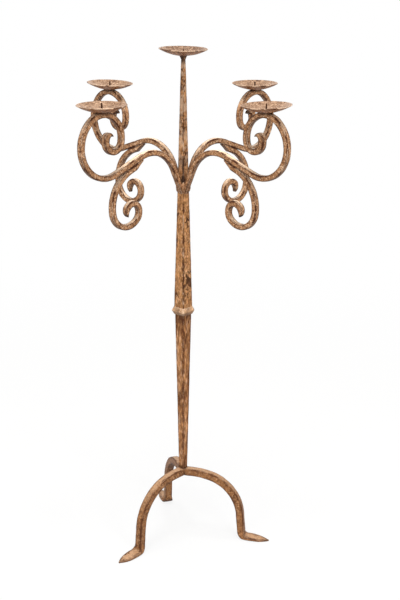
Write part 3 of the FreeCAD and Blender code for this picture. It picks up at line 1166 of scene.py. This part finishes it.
class NodeDesk:
    """Lays out the nodes of one material or node group."""

    def __init__(self, tree: bpy.types.NodeTree) -> None:
        """Take a tree and empty it."""
        self.tree = tree
        tree.nodes.clear()

    def node(self, kind: str, inputs: dict[str | int, Source] | None = None, **settings: object) -> Node:
        """Add a node.

        Args:
            kind: Type of the node.
            inputs: Sources of its inputs, by name or number.
            **settings: Properties of the node.

        Returns:
            The node.
        """
        made = self.tree.nodes.new(kind)
        for name, value in settings.items():
            setattr(made, name, value)
        for name, source in (inputs or {}).items():
            self.feed(made.inputs[name], source)
        return made

    def feed(self, socket: Socket, source: Source) -> None:
        """Link a socket to another, or set its value.

        Args:
            socket: Input to feed.
            source: Output socket, number or colour.
        """
        if isinstance(source, Socket):
            self.tree.links.new(source, socket)
        elif isinstance(source, tuple) and socket.type == "RGBA":
            socket.default_value = (*source, 1.0)
        else:
            socket.default_value = source

    def math(self, operation: str, *numbers: Source) -> Socket:
        """Work out one operation of the Math node."""
        return self.node("ShaderNodeMath", dict(enumerate(numbers)), operation=operation).outputs[0]

    def plus(self, first: Source, second: Source) -> Socket:
        """Add two numbers."""
        return self.math("ADD", first, second)

    def minus(self, first: Source, second: Source) -> Socket:
        """Take the second number from the first."""
        return self.math("SUBTRACT", first, second)

    def times(self, first: Source, second: Source) -> Socket:
        """Multiply two numbers."""
        return self.math("MULTIPLY", first, second)

    def larger(self, first: Source, second: Source) -> Socket:
        """Give the larger of two numbers."""
        return self.math("MAXIMUM", first, second)

    def blend(self, *parts: tuple[Source, float]) -> Source:
        """Add numbers up, each by its share.

        Args:
            *parts: Numbers or sockets with their shares.

        Returns:
            The sum.
        """
        total: Source = 0.0
        for value, share in parts:
            total = self.math("MULTIPLY_ADD", value, share, total)
        return total

    def mix(self, share: Source, first: Source, second: Source) -> Socket:
        """Mix two colours, where share is the amount of the second."""
        return self.node("ShaderNodeMix", {0: share, 6: first, 7: second}, data_type="RGBA").outputs[2]

    def scaled(self, vector: Source, scale: Source) -> Socket:
        """Multiply a vector or colour by a number."""
        return self.node("ShaderNodeVectorMath", {0: vector, "Scale": scale}, operation="SCALE").outputs[0]

    def split(self, kind: str, source: Source) -> list[Socket]:
        """Give the three parts of a vector or colour."""
        return list(self.node(kind, {0: source}).outputs)

    def band(self, value: Source, low: Source, high: Source) -> Socket:
        """Stretch the range from low to high smoothly over 0 to 1.

        Args:
            value: Number to stretch.
            low: Number that becomes 0.
            high: Number that becomes 1.

        Returns:
            The stretched number.
        """
        return self.node("ShaderNodeMapRange", {"Value": value, "From Min": low, "From Max": high},
                         interpolation_type="SMOOTHSTEP").outputs["Result"]

    def noise(self, vector: Source, scale: Source, detail: float = 2.0, rough: float = 0.5,
              warp: float = 0.0) -> Node:
        """Add soft noise.

        Args:
            vector: Coordinates.
            scale: Spots in a metre.
            detail: Number of finer layers.
            rough: Strength of the finer layers.
            warp: Distortion.

        Returns:
            The node, with a number from 0 to 1 and a colour.
        """
        return self.node("ShaderNodeTexNoise", {"Vector": vector, "Scale": scale, "Detail": detail,
                                                "Roughness": rough, "Distortion": warp})

    def cloud(self, vector: Source, scale: Source, **grain: float) -> Socket:
        """Give soft noise from 0 to 1."""
        return self.noise(vector, scale, **grain).outputs["Fac"]

    def clouds(self, vector: Source, scale: Source, **grain: float) -> list[Socket]:
        """Give three soft noises that don't follow each other."""
        return self.split("ShaderNodeSeparateColor", self.noise(vector, scale, **grain).outputs["Color"])


class Effect(Enum):
    """Name of an effect that several finishes share."""

    MOTTLE = "Gilt mottle"
    EDGE_WEAR_AND_LIGHT = "Edge rub"
    DENTS = "Hammer dents"


class Port(Enum):
    """Kind of an effect's input or output."""

    VECTOR = "NodeSocketVector"
    COLOUR = "NodeSocketColor"
    NUMBER = "NodeSocketFloat"


class Effects:
    """Shared effects, each a node group that is built once."""

    def __init__(self) -> None:
        """Build every effect."""
        self.groups = {Effect.MOTTLE: self.mottle(), Effect.EDGE_WEAR_AND_LIGHT: self.edge_wear_and_light(), Effect.DENTS: self.dents()}

    @staticmethod
    def group(effect: Effect, inputs: dict[str, Port | float], outputs: dict[str, Port]
              ) -> tuple[NodeDesk, bpy.types.NodeOutputs, bpy.types.NodeInputs]:
        """Start a node group.

        Args:
            effect: Effect to name it after.
            inputs: Its inputs, where a number stands for a number input with that value.
            outputs: Its outputs.

        Returns:
            The desk, the sockets that bring values in and the sockets that take them out.
        """
        tree = bpy.data.node_groups.new(effect.value, "ShaderNodeTree")
        for in_out, ports in (("INPUT", inputs), ("OUTPUT", outputs)):
            for name, port in ports.items():
                kind = port if isinstance(port, Port) else Port.NUMBER
                made = tree.interface.new_socket(name=name, in_out=in_out, socket_type=kind.value)
                if not isinstance(port, Port):
                    made.default_value = port
        desk = NodeDesk(tree)
        return desk, desk.node("NodeGroupInput").outputs, desk.node("NodeGroupOutput").inputs

    def mottle(self) -> bpy.types.NodeTree:
        """Build the cloudy gilt with umber and violet patches and fine speckle.

        Returns:
            The node group.
        """
        desk, get, put = self.group(
            Effect.MOTTLE,
            {"Vector": Port.VECTOR, "Gilt": Port.COLOUR, "Deep": Port.COLOUR, "Pale": Port.COLOUR,
             "Umber": Port.COLOUR, "Violet": Port.COLOUR, "Scale": 40.0, "Paleness": 0.4, "Patches": 0.5,
             "Speckle": 0.5, "Cluster": 0.4, "Grain": 0.3},
            {"Color": Port.COLOUR, "Dark": Port.NUMBER})
        where, scale = get["Vector"], get["Scale"]
        wide = desk.cloud(where, desk.times(scale, 0.5), detail=3.0, rough=0.6, warp=0.6)
        cloud = desk.cloud(where, scale, detail=4.0, rough=0.6, warp=0.5)
        coarse = desk.clouds(where, desk.times(scale, 3.2), detail=2.0, rough=0.55)
        fine = desk.clouds(where, desk.times(scale, 6.0), detail=2.0, rough=0.55)
        base = desk.blend((cloud, 0.3), (coarse[0], 0.3), (fine[0], 0.4))
        colour = desk.mix(desk.band(base, 0.36, 0.60), get["Deep"], get["Gilt"])
        lit = desk.blend((cloud, 0.2), (coarse[1], 0.35), (fine[1], 0.45))
        colour = desk.mix(desk.times(desk.band(lit, 0.49, 0.66), get["Paleness"]), colour, get["Pale"])
        veil = desk.cloud(where, desk.times(scale, 0.9), detail=3.0, rough=0.5, warp=0.3)
        stain = desk.mix(desk.band(veil, 0.42, 0.60), get["Umber"], get["Violet"])
        speck = desk.blend((coarse[2], 0.53), (fine[2], 0.47))
        alone = desk.minus(1.0, get["Cluster"])
        grains = desk.plus(desk.times(wide, get["Cluster"]), desk.times(speck, alone))
        low = desk.minus(0.60, desk.times(get["Patches"], 0.14))
        dark = desk.times(desk.band(grains, low, desk.plus(low, 0.05)), get["Speckle"])
        grit = desk.band(desk.blend((fine[1], 0.65), (coarse[0], 0.35)), 0.38, 0.62)
        light = desk.plus(1.0, desk.times(desk.minus(grit, 0.5), get["Grain"]))
        desk.feed(put["Color"], desk.scaled(desk.mix(dark, colour, stain), light))
        desk.feed(put["Dark"], dark)
        return desk.tree

    def edge_wear_and_light(self) -> bpy.types.NodeTree:
        """Build the margin of painted shade towards an edge, which also stands for some wear, the broken
        dark line where the gilt is rubbed off, and a broken pale line that is partly rubbed gilt and partly
        painted highlight.

        Returns:
            The node group.
        """
        desk, get, put = self.group(
            Effect.EDGE_WEAR_AND_LIGHT,
            {"Vector": Port.VECTOR, "Edge": 0.0, "Scale": 35.0, "Start": 0.4, "Line": 0.66, "Cover": 0.5},
            {"Worn": Port.NUMBER, "Bright": Port.NUMBER, "Margin": Port.NUMBER})
        where, scale = get["Vector"], get["Scale"]
        broken = desk.cloud(where, scale, detail=2.0, rough=0.5)
        uneven = desk.minus(desk.cloud(where, desk.times(scale, 1.7), detail=3.0, rough=0.6), 0.5)
        ragged = desk.minus(desk.cloud(where, desk.times(scale, 8.0), detail=4.0, rough=0.7), 0.5)
        reach = desk.blend((get["Edge"], 1.0), (ragged, 0.6))
        line = desk.band(reach, get["Line"], desk.plus(get["Line"], 0.16))
        wide = desk.blend((get["Edge"], 1.0), (ragged, 0.9), (uneven, 1.4))
        low = desk.minus(0.60, desk.times(get["Cover"], 0.26))
        high = desk.plus(low, 0.10)
        # Worn is a dark line where the gilt is rubbed off; Bright is a pale line, partly rubbed gilt and
        # partly painted highlight.
        desk.feed(put["Worn"], desk.times(line, desk.band(broken, low, high)))
        desk.feed(put["Bright"], desk.times(line, desk.band(broken, high, low)))
        # The margin is painted shade towards the edge, with some wear.
        desk.feed(put["Margin"], desk.band(wide, get["Start"], desk.plus(get["Start"], 0.45)))
        return desk.tree

    def dents(self) -> bpy.types.NodeTree:
        """Build the height of hammer dents and of the grain left by scale.

        Returns:
            The node group.
        """
        desk, get, put = self.group(
            Effect.DENTS, {"Vector": Port.VECTOR, "Scale": 70.0, "Grain": 0.35}, {"Height": Port.NUMBER})
        where, scale = get["Vector"], get["Scale"]
        drift = desk.scaled(desk.noise(where, desk.times(scale, 0.7)).outputs["Color"], 0.008)
        warped = desk.node("ShaderNodeVectorMath", {0: where, 1: drift}, operation="ADD")
        cells = desk.node("ShaderNodeTexVoronoi", {"Vector": warped.outputs[0], "Scale": scale},
                          feature="SMOOTH_F1")
        grain = desk.cloud(where, desk.times(scale, 9.0), detail=4.0, rough=0.7)
        desk.feed(put["Height"], desk.plus(cells.outputs["Distance"], desk.times(grain, get["Grain"])))
        return desk.tree

    def place(self, desk: NodeDesk, effect: Effect, **values: Source) -> bpy.types.NodeOutputs:
        """Place an effect in a material.

        Args:
            desk: Desk of the material.
            effect: Effect to place.
            **values: Values of its inputs.

        Returns:
            The outputs of the group node.
        """
        made = desk.node("ShaderNodeGroup", node_tree=self.groups[effect])
        for name, value in values.items():
            desk.feed(made.inputs[name], value)
        return made.outputs


@dataclass(frozen=True)
class Patina:
    """Antique gilt patina over forged iron, with painted light: paler tops, darker undersides, painted shade
    towards edges and where parts meet, and pale edge lines that are partly painted highlight.
    """

    name: str
    gilt: Colour = tint(186, 137, 97)
    deep: Colour = tint(118, 79, 52)
    pale: Colour = tint(240, 208, 176)
    umber: Colour = tint(58, 28, 10)
    violet: Colour = tint(84, 48, 28)
    margin: Colour = tint(84, 44, 19)
    dust: Colour = tint(206, 172, 142)
    # Colour of the painted shade where parts meet, and of darker tips.
    soot: Colour = tint(52, 34, 26)
    scale: float = 42.0
    paleness: float = 0.55
    patches: float = 0.36
    speckle: float = 0.75
    grain: float = 0.4
    cluster: float = 0.4
    line_start: float = 0.70
    cover: float = 0.5
    # The margin is painted shade towards edges, with some wear.
    margin_start: float = 0.42
    margin_depth: float = 0.85
    rubbed: float = 0.85
    # Strength of the pale edge line, partly painted highlight and partly rubbed gilt.
    brightened: float = 0.5
    stretch: float = 1.0
    dent_scale: float = 85.0
    dent_depth: float = 0.0009
    roughness: float = 0.48
    dark_roughness: float = 0.2
    metallic: float = 0.10
    specular: float = 0.15
    # Painted top light: share by which faces that look up turn pale.
    top_light: float = 0.85
    top_light_scale: float = 150.0
    # Painted shade: share by which faces that look down turn umber.
    shading: float = 0.75
    shade_and_tip_breakup_scale: float = 160.0
    dusty: float = 0.0
    dust_scale: float = 70.0
    dusty_from: float = 0.98
    dusty_above: float = 1.08
    dusty_patches: float = 0.24
    has_inside: bool = False
    inside_gilt: Colour = tint(158, 126, 100)
    inside_deep: Colour = tint(104, 76, 56)

    @staticmethod
    def mark(desk: NodeDesk, mark: Mark) -> Socket:
        """Give the attribute that holds a mark of the mesh."""
        return desk.node("ShaderNodeAttribute", attribute_name=mark.value).outputs["Fac"]

    def mottled(self, desk: NodeDesk, effects: Effects, where: Socket, patches: Source
                ) -> bpy.types.NodeOutputs:
        """Lay on the cloudy gilt, with its own colours inside a pan.

        Args:
            desk: Desk of the material.
            effects: The shared effects.
            where: Coordinates.
            patches: Amount of stains.

        Returns:
            The outputs of the effect.
        """
        gilt: Source = self.gilt
        deep: Source = self.deep
        if self.has_inside:
            inside = self.mark(desk, Mark.INSIDE)
            gilt = desk.mix(inside, self.gilt, self.inside_gilt)
            deep = desk.mix(inside, self.deep, self.inside_deep)
        if self.stretch != 1.0:
            scale = (1.0, 1.0, 1.0 / self.stretch)
            where = desk.node("ShaderNodeMapping", {"Vector": where, "Scale": scale}).outputs[0]
        return effects.place(desk, Effect.MOTTLE, Vector=where, Gilt=gilt, Deep=deep, Pale=self.pale,
                             Umber=self.umber, Violet=self.violet, Scale=self.scale,
                             Paleness=self.paleness, Patches=patches, Speckle=self.speckle,
                             Grain=self.grain, Cluster=self.cluster)

    def coat(self, desk: NodeDesk, effects: Effects, where: Socket) -> tuple[Socket, Socket]:
        """Lay every layer of the patina over each other, together with the painted top light and the painted
        shade and highlights.

        Args:
            desk: Desk of the material.
            effects: The shared effects.
            where: Coordinates.

        Returns:
            The colour and the mask of its dark places.
        """
        patches: Source = self.patches
        if self.dusty:
            height = desk.split("ShaderNodeSeparateXYZ", where)[2]
            high = desk.band(height, self.dusty_from, self.dusty_above)
            patches = desk.blend((self.patches, 1.0), (high, self.dusty_patches))
        mottle = self.mottled(desk, effects, where, patches)
        edge_wear_and_light = effects.place(desk, Effect.EDGE_WEAR_AND_LIGHT, Vector=where, Edge=self.mark(desk, Mark.EDGE),
                            Start=self.margin_start, Line=self.line_start, Cover=self.cover)
        facing = desk.split("ShaderNodeSeparateXYZ", desk.node("ShaderNodeNewGeometry").outputs["Normal"])[2]
        # Painted top light: faces that look up turn pale, in broken patches.
        thin = desk.band(desk.cloud(where, self.top_light_scale, detail=3.0, rough=0.65), 0.28, 0.50)
        top_lit = desk.times(desk.times(desk.band(facing, 0.25, 0.95), self.top_light), thin)
        colour = desk.mix(top_lit, mottle["Color"], self.pale)
        # Painted shade towards the rounded edges, with some wear.
        colour = desk.mix(desk.times(edge_wear_and_light["Margin"], self.margin_depth), colour, self.margin)
        if self.dusty:
            settled = desk.band(desk.cloud(where, self.dust_scale, detail=3.0, rough=0.6), 0.40, 0.60)
            colour = desk.mix(desk.times(desk.times(high, settled), self.dusty), colour, self.dust)
        # Pale line along edges, partly rubbed gilt and partly painted highlight.
        colour = desk.mix(desk.times(edge_wear_and_light["Bright"], self.brightened), colour, self.pale)
        # Painted shade on faces that look down.
        under = desk.times(desk.band(facing, -0.10, -0.75), self.shading)
        colour = desk.mix(under, colour, self.umber)
        worn = desk.times(edge_wear_and_light["Worn"], self.rubbed)
        colour = desk.mix(worn, colour, self.umber)
        # Painted shade where parts meet and under the pans, and darker tips, broken up by noise.
        shade_and_tip_breakup = desk.band(desk.cloud(where, self.shade_and_tip_breakup_scale, detail=4.0, rough=0.7), 0.15, 0.60)
        black = desk.times(self.mark(desk, Mark.SHADE_AND_DARK_TIPS), shade_and_tip_breakup)
        colour = desk.mix(black, colour, self.soot)
        return colour, desk.larger(desk.larger(mottle["Dark"], worn), black)

    def material(self, effects: Effects) -> bpy.types.Material:
        """Build the material.

        Args:
            effects: The shared effects.

        Returns:
            The material.
        """
        made = bpy.data.materials.new(self.name)
        made.use_nodes = True
        desk = NodeDesk(made.node_tree)
        where = desk.node("ShaderNodeTexCoord").outputs["Object"]
        colour, dark = self.coat(desk, effects, where)
        dents = effects.place(desk, Effect.DENTS, Vector=where, Scale=self.dent_scale)
        bump = desk.node("ShaderNodeBump", {"Height": dents["Height"], "Distance": self.dent_depth,
                                            "Strength": 1.0})
        shader = desk.node("ShaderNodeBsdfPrincipled", {
            "Base Color": colour,
            "Roughness": desk.plus(self.roughness, desk.times(dark, self.dark_roughness)),
            "Metallic": desk.times(desk.minus(1.0, dark), self.metallic),
            "Normal": bump.outputs["Normal"],
            "Specular IOR Level": self.specular})
        desk.node("ShaderNodeOutputMaterial", {"Surface": shader.outputs["BSDF"]})
        return made


class Wardrobe:
    """Every finish of the stand."""

    def __init__(self, effects: Effects) -> None:
        """Build the finishes.

        Args:
            effects: The shared effects.
        """
        post = Patina(
            "Gilt on the upper post", gilt=tint(202, 146, 94), deep=tint(142, 92, 50), scale=44.0,
            paleness=0.35, patches=0.46, speckle=0.9, grain=0.45, cluster=0.5, top_light=0.1,
            line_start=0.78, cover=0.8, margin_start=0.60, rubbed=0.75, stretch=1.8, dusty=0.85)
        post_foot = replace(
            post, name="Gilt on the lower post", gilt=tint(190, 133, 83), deep=tint(118, 68, 30),
            umber=tint(76, 38, 13), violet=tint(98, 55, 26), scale=36.0, paleness=0.4, patches=0.54,
            grain=0.5, cluster=0.75, margin_start=0.54, line_start=0.86, cover=0.55, brightened=0.3,
            stretch=3.2, dusty=0.0)
        collar = Patina(
            "Gilt on the collar", gilt=tint(206, 162, 122), scale=60.0, patches=0.3, rubbed=0.15,
            margin_depth=0.0, brightened=0.6, top_light=0.95, shading=0.9, dent_scale=120.0)
        bar = Patina(
            "Gilt on the bars", gilt=tint(194, 144, 102), deep=tint(126, 84, 54), scale=52.0,
            paleness=0.7, patches=0.30, margin_start=0.37, margin_depth=0.95, top_light=1.0)
        bead = Patina(
            "Gilt on the weld beads", gilt=tint(176, 128, 88), scale=120.0, dent_scale=300.0,
            roughness=0.55)
        leg = Patina(
            "Gilt on the legs", gilt=tint(164, 114, 72), deep=tint(120, 79, 48),
            pale=tint(214, 176, 140), scale=54.0, paleness=0.38, line_start=0.76, margin_start=0.46,
            rubbed=0.35, brightened=0.25, top_light=0.5)
        pan = Patina(
            "Gilt on the pans", gilt=tint(168, 110, 66), deep=tint(116, 72, 42),
            pale=tint(214, 184, 156), scale=62.0, patches=0.38, top_light=0.0, shading=0.35,
            line_start=0.5, margin_depth=0.0, rubbed=0.6, brightened=0.8, grain=0.35, dent_scale=75.0,
            dent_depth=0.0006, has_inside=True, inside_gilt=tint(150, 118, 92),
            inside_deep=tint(108, 78, 56))
        pan_high = replace(
            pan, name="Gilt on the middle pan", patches=0.5, inside_gilt=tint(132, 102, 80),
            inside_deep=tint(84, 58, 40))
        spike = Patina(
            "Bare brown iron", gilt=tint(78, 48, 30), deep=tint(54, 34, 22), pale=tint(120, 84, 58),
            umber=tint(44, 28, 18), violet=tint(62, 44, 36), scale=150.0, paleness=0.2, patches=0.6,
            dent_scale=320.0, dent_depth=0.0002, metallic=0.4, top_light=0.0, margin_depth=0.0)
        self.post = post.material(effects)
        self.post_foot = post_foot.material(effects)
        self.collar = collar.material(effects)
        self.bar = bar.material(effects)
        self.bead = bead.material(effects)
        self.leg = leg.material(effects)
        self.pan = pan.material(effects)
        self.pan_high = pan_high.material(effects)
        self.spike = spike.material(effects)


@dataclass(frozen=True)
class Lamp:
    """Soft square lamp: where it hangs, its side, its power in watts and its colour."""

    name: str
    place: tuple[float, float, float]
    size: float
    power: float
    warmth: Colour

    def hang(self, aim: Vector) -> None:
        """Hang the lamp.

        Args:
            aim: Point that it shines at.
        """
        data = bpy.data.lights.new(self.name, "AREA")
        data.shape = "SQUARE"
        data.size = self.size
        data.energy = self.power
        data.color = self.warmth
        lamp = bpy.data.objects.new(self.name, data)
        lamp.location = self.place
        lamp.rotation_euler = (aim - Vector(self.place)).to_track_quat("-Z", "Y").to_euler()
        bpy.context.scene.collection.objects.link(lamp)


@dataclass
class Studio:
    """Camera, soft lights, white background and plain pale floor."""

    azimuth: float = 44.3836
    distance: float = 2.7971
    eye_height: float = 1.5906
    pitch: float = 18.2982
    yaw: float = 0.8824
    roll: float = 0.30
    lens: float = 68.9061
    sensor: float = 36.0
    aim_height: float = 0.8
    lamps: tuple[Lamp, ...] = (
        Lamp("overhead", (0.3, -0.3, 5.0), 2.2, 250.0, (1.0, 0.99, 0.97)),
        Lamp("right", (3.8, -1.3, 2.3), 1.2, 58.0, (1.0, 0.98, 0.95)),
        Lamp("left", (1.3, -3.8, 2.3), 1.2, 44.0, (1.0, 0.98, 0.95)),
        Lamp("behind", (-2.9, 2.7, 2.8), 1.8, 28.0, (1.0, 0.99, 0.97)))
    white: Colour = (1.0, 1.0, 1.0)
    fill: float = 0.08
    floor_reach: float = 12.0
    floor_colour: Colour = (0.86, 0.86, 0.86)
    floor_glow_near: float = 0.85
    floor_glow_rise: float = 0.15
    floor_near: float = 0.5
    floor_far: float = 2.6

    def camera(self) -> None:
        """Stand the camera where the photograph was taken."""
        turn = round_post(self.azimuth)
        inward = turn @ Vector((0.0, 1.0, 0.0))
        rightwards = turn @ Vector((1.0, 0.0, 0.0))
        yaw = math.radians(self.yaw)
        pitch = math.radians(self.pitch)
        level = inward * math.cos(yaw) + rightwards * math.sin(yaw)
        look = level * math.cos(pitch) - UP * math.sin(pitch)
        data = bpy.data.cameras.new("camera")
        data.lens = self.lens
        data.sensor_width = self.sensor
        camera = bpy.data.objects.new("camera", data)
        camera.location = -inward * self.distance + UP * self.eye_height
        facing = look.to_track_quat("-Z", "Y").to_matrix()
        camera.rotation_euler = (facing @ round_post(self.roll)).to_euler()
        bpy.context.scene.collection.objects.link(camera)
        bpy.context.scene.camera = camera

    def seen(self, desk: NodeDesk) -> Socket:
        """Tell the rays of the camera, and those that a surface mirrors, from the others.

        Args:
            desk: Desk of the material.

        Returns:
            1 for those rays and 0 for the others.
        """
        path = desk.node("ShaderNodeLightPath").outputs
        return desk.larger(path["Is Camera Ray"],
                           desk.larger(path["Is Glossy Ray"], path["Is Transmission Ray"]))

    def sky(self) -> None:
        """Light the stand evenly from a sky that looks white."""
        world = bpy.data.worlds.new("studio")
        world.use_nodes = True
        bpy.context.scene.world = world
        desk = NodeDesk(world.node_tree)
        fill, backdrop = (
            desk.node("ShaderNodeBackground", {"Color": self.white, "Strength": strength}).outputs[0]
            for strength in (self.fill, 1.0))
        mixed = desk.node("ShaderNodeMixShader", {0: self.seen(desk), 1: fill, 2: backdrop})
        desk.node("ShaderNodeOutputWorld", {"Surface": mixed.outputs[0]})

    def floor(self) -> None:
        """Lay a plain pale floor that keeps the stand's shadow."""
        mesh = bmesh.new()
        bmesh.ops.create_grid(mesh, x_segments=1, y_segments=1, size=self.floor_reach)
        data = bpy.data.meshes.new("floor")
        mesh.to_mesh(data)
        mesh.free()
        floor = bpy.data.objects.new("floor", data)
        bpy.context.scene.collection.objects.link(floor)
        data.materials.append(self.floor_material())

    def floor_material(self) -> bpy.types.Material:
        """Build a matt finish that whitens away from the stand.

        Returns:
            The material.
        """
        made = bpy.data.materials.new("Pale floor")
        made.use_nodes = True
        desk = NodeDesk(made.node_tree)
        matt = desk.node("ShaderNodeBsdfDiffuse", {"Color": self.floor_colour}).outputs[0]
        glow = desk.node("ShaderNodeEmission", {"Color": self.white, "Strength": 1.0}).outputs[0]
        where = desk.node("ShaderNodeTexCoord").outputs["Object"]
        away = desk.node("ShaderNodeVectorMath", {0: where}, operation="LENGTH").outputs["Value"]
        far = desk.band(away, self.floor_near, self.floor_far)
        glowing = desk.plus(desk.times(far, self.floor_glow_rise), self.floor_glow_near)
        share = desk.times(self.seen(desk), glowing)
        mixed = desk.node("ShaderNodeMixShader", {0: share, 1: matt, 2: glow})
        desk.node("ShaderNodeOutputMaterial", {"Surface": mixed.outputs[0]})
        return made

    def build(self) -> None:
        """Set up the whole studio."""
        bpy.context.scene.view_settings.view_transform = "Standard"
        self.camera()
        self.sky()
        self.floor()
        for lamp in self.lamps:
            lamp.hang(UP * self.aim_height)


def main() -> None:
    """Build the stand, its finishes and the studio, and log how many pieces it has."""
    logging.basicConfig(level=logging.INFO, format="%(name)s: %(message)s")
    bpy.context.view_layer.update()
    dress = Wardrobe(Effects())
    finisher = Finisher()
    post = Post()
    arms = Arms()
    post.build(finisher, arms.root_height, dress)
    arms.build(finisher, post, dress)
    Pans().build(finisher, arms.crown, post, dress)
    Legs().build(finisher, dress)
    Studio().build()
    log.info("%d pieces", finisher.count)


if __name__ == "__main__":
    main()
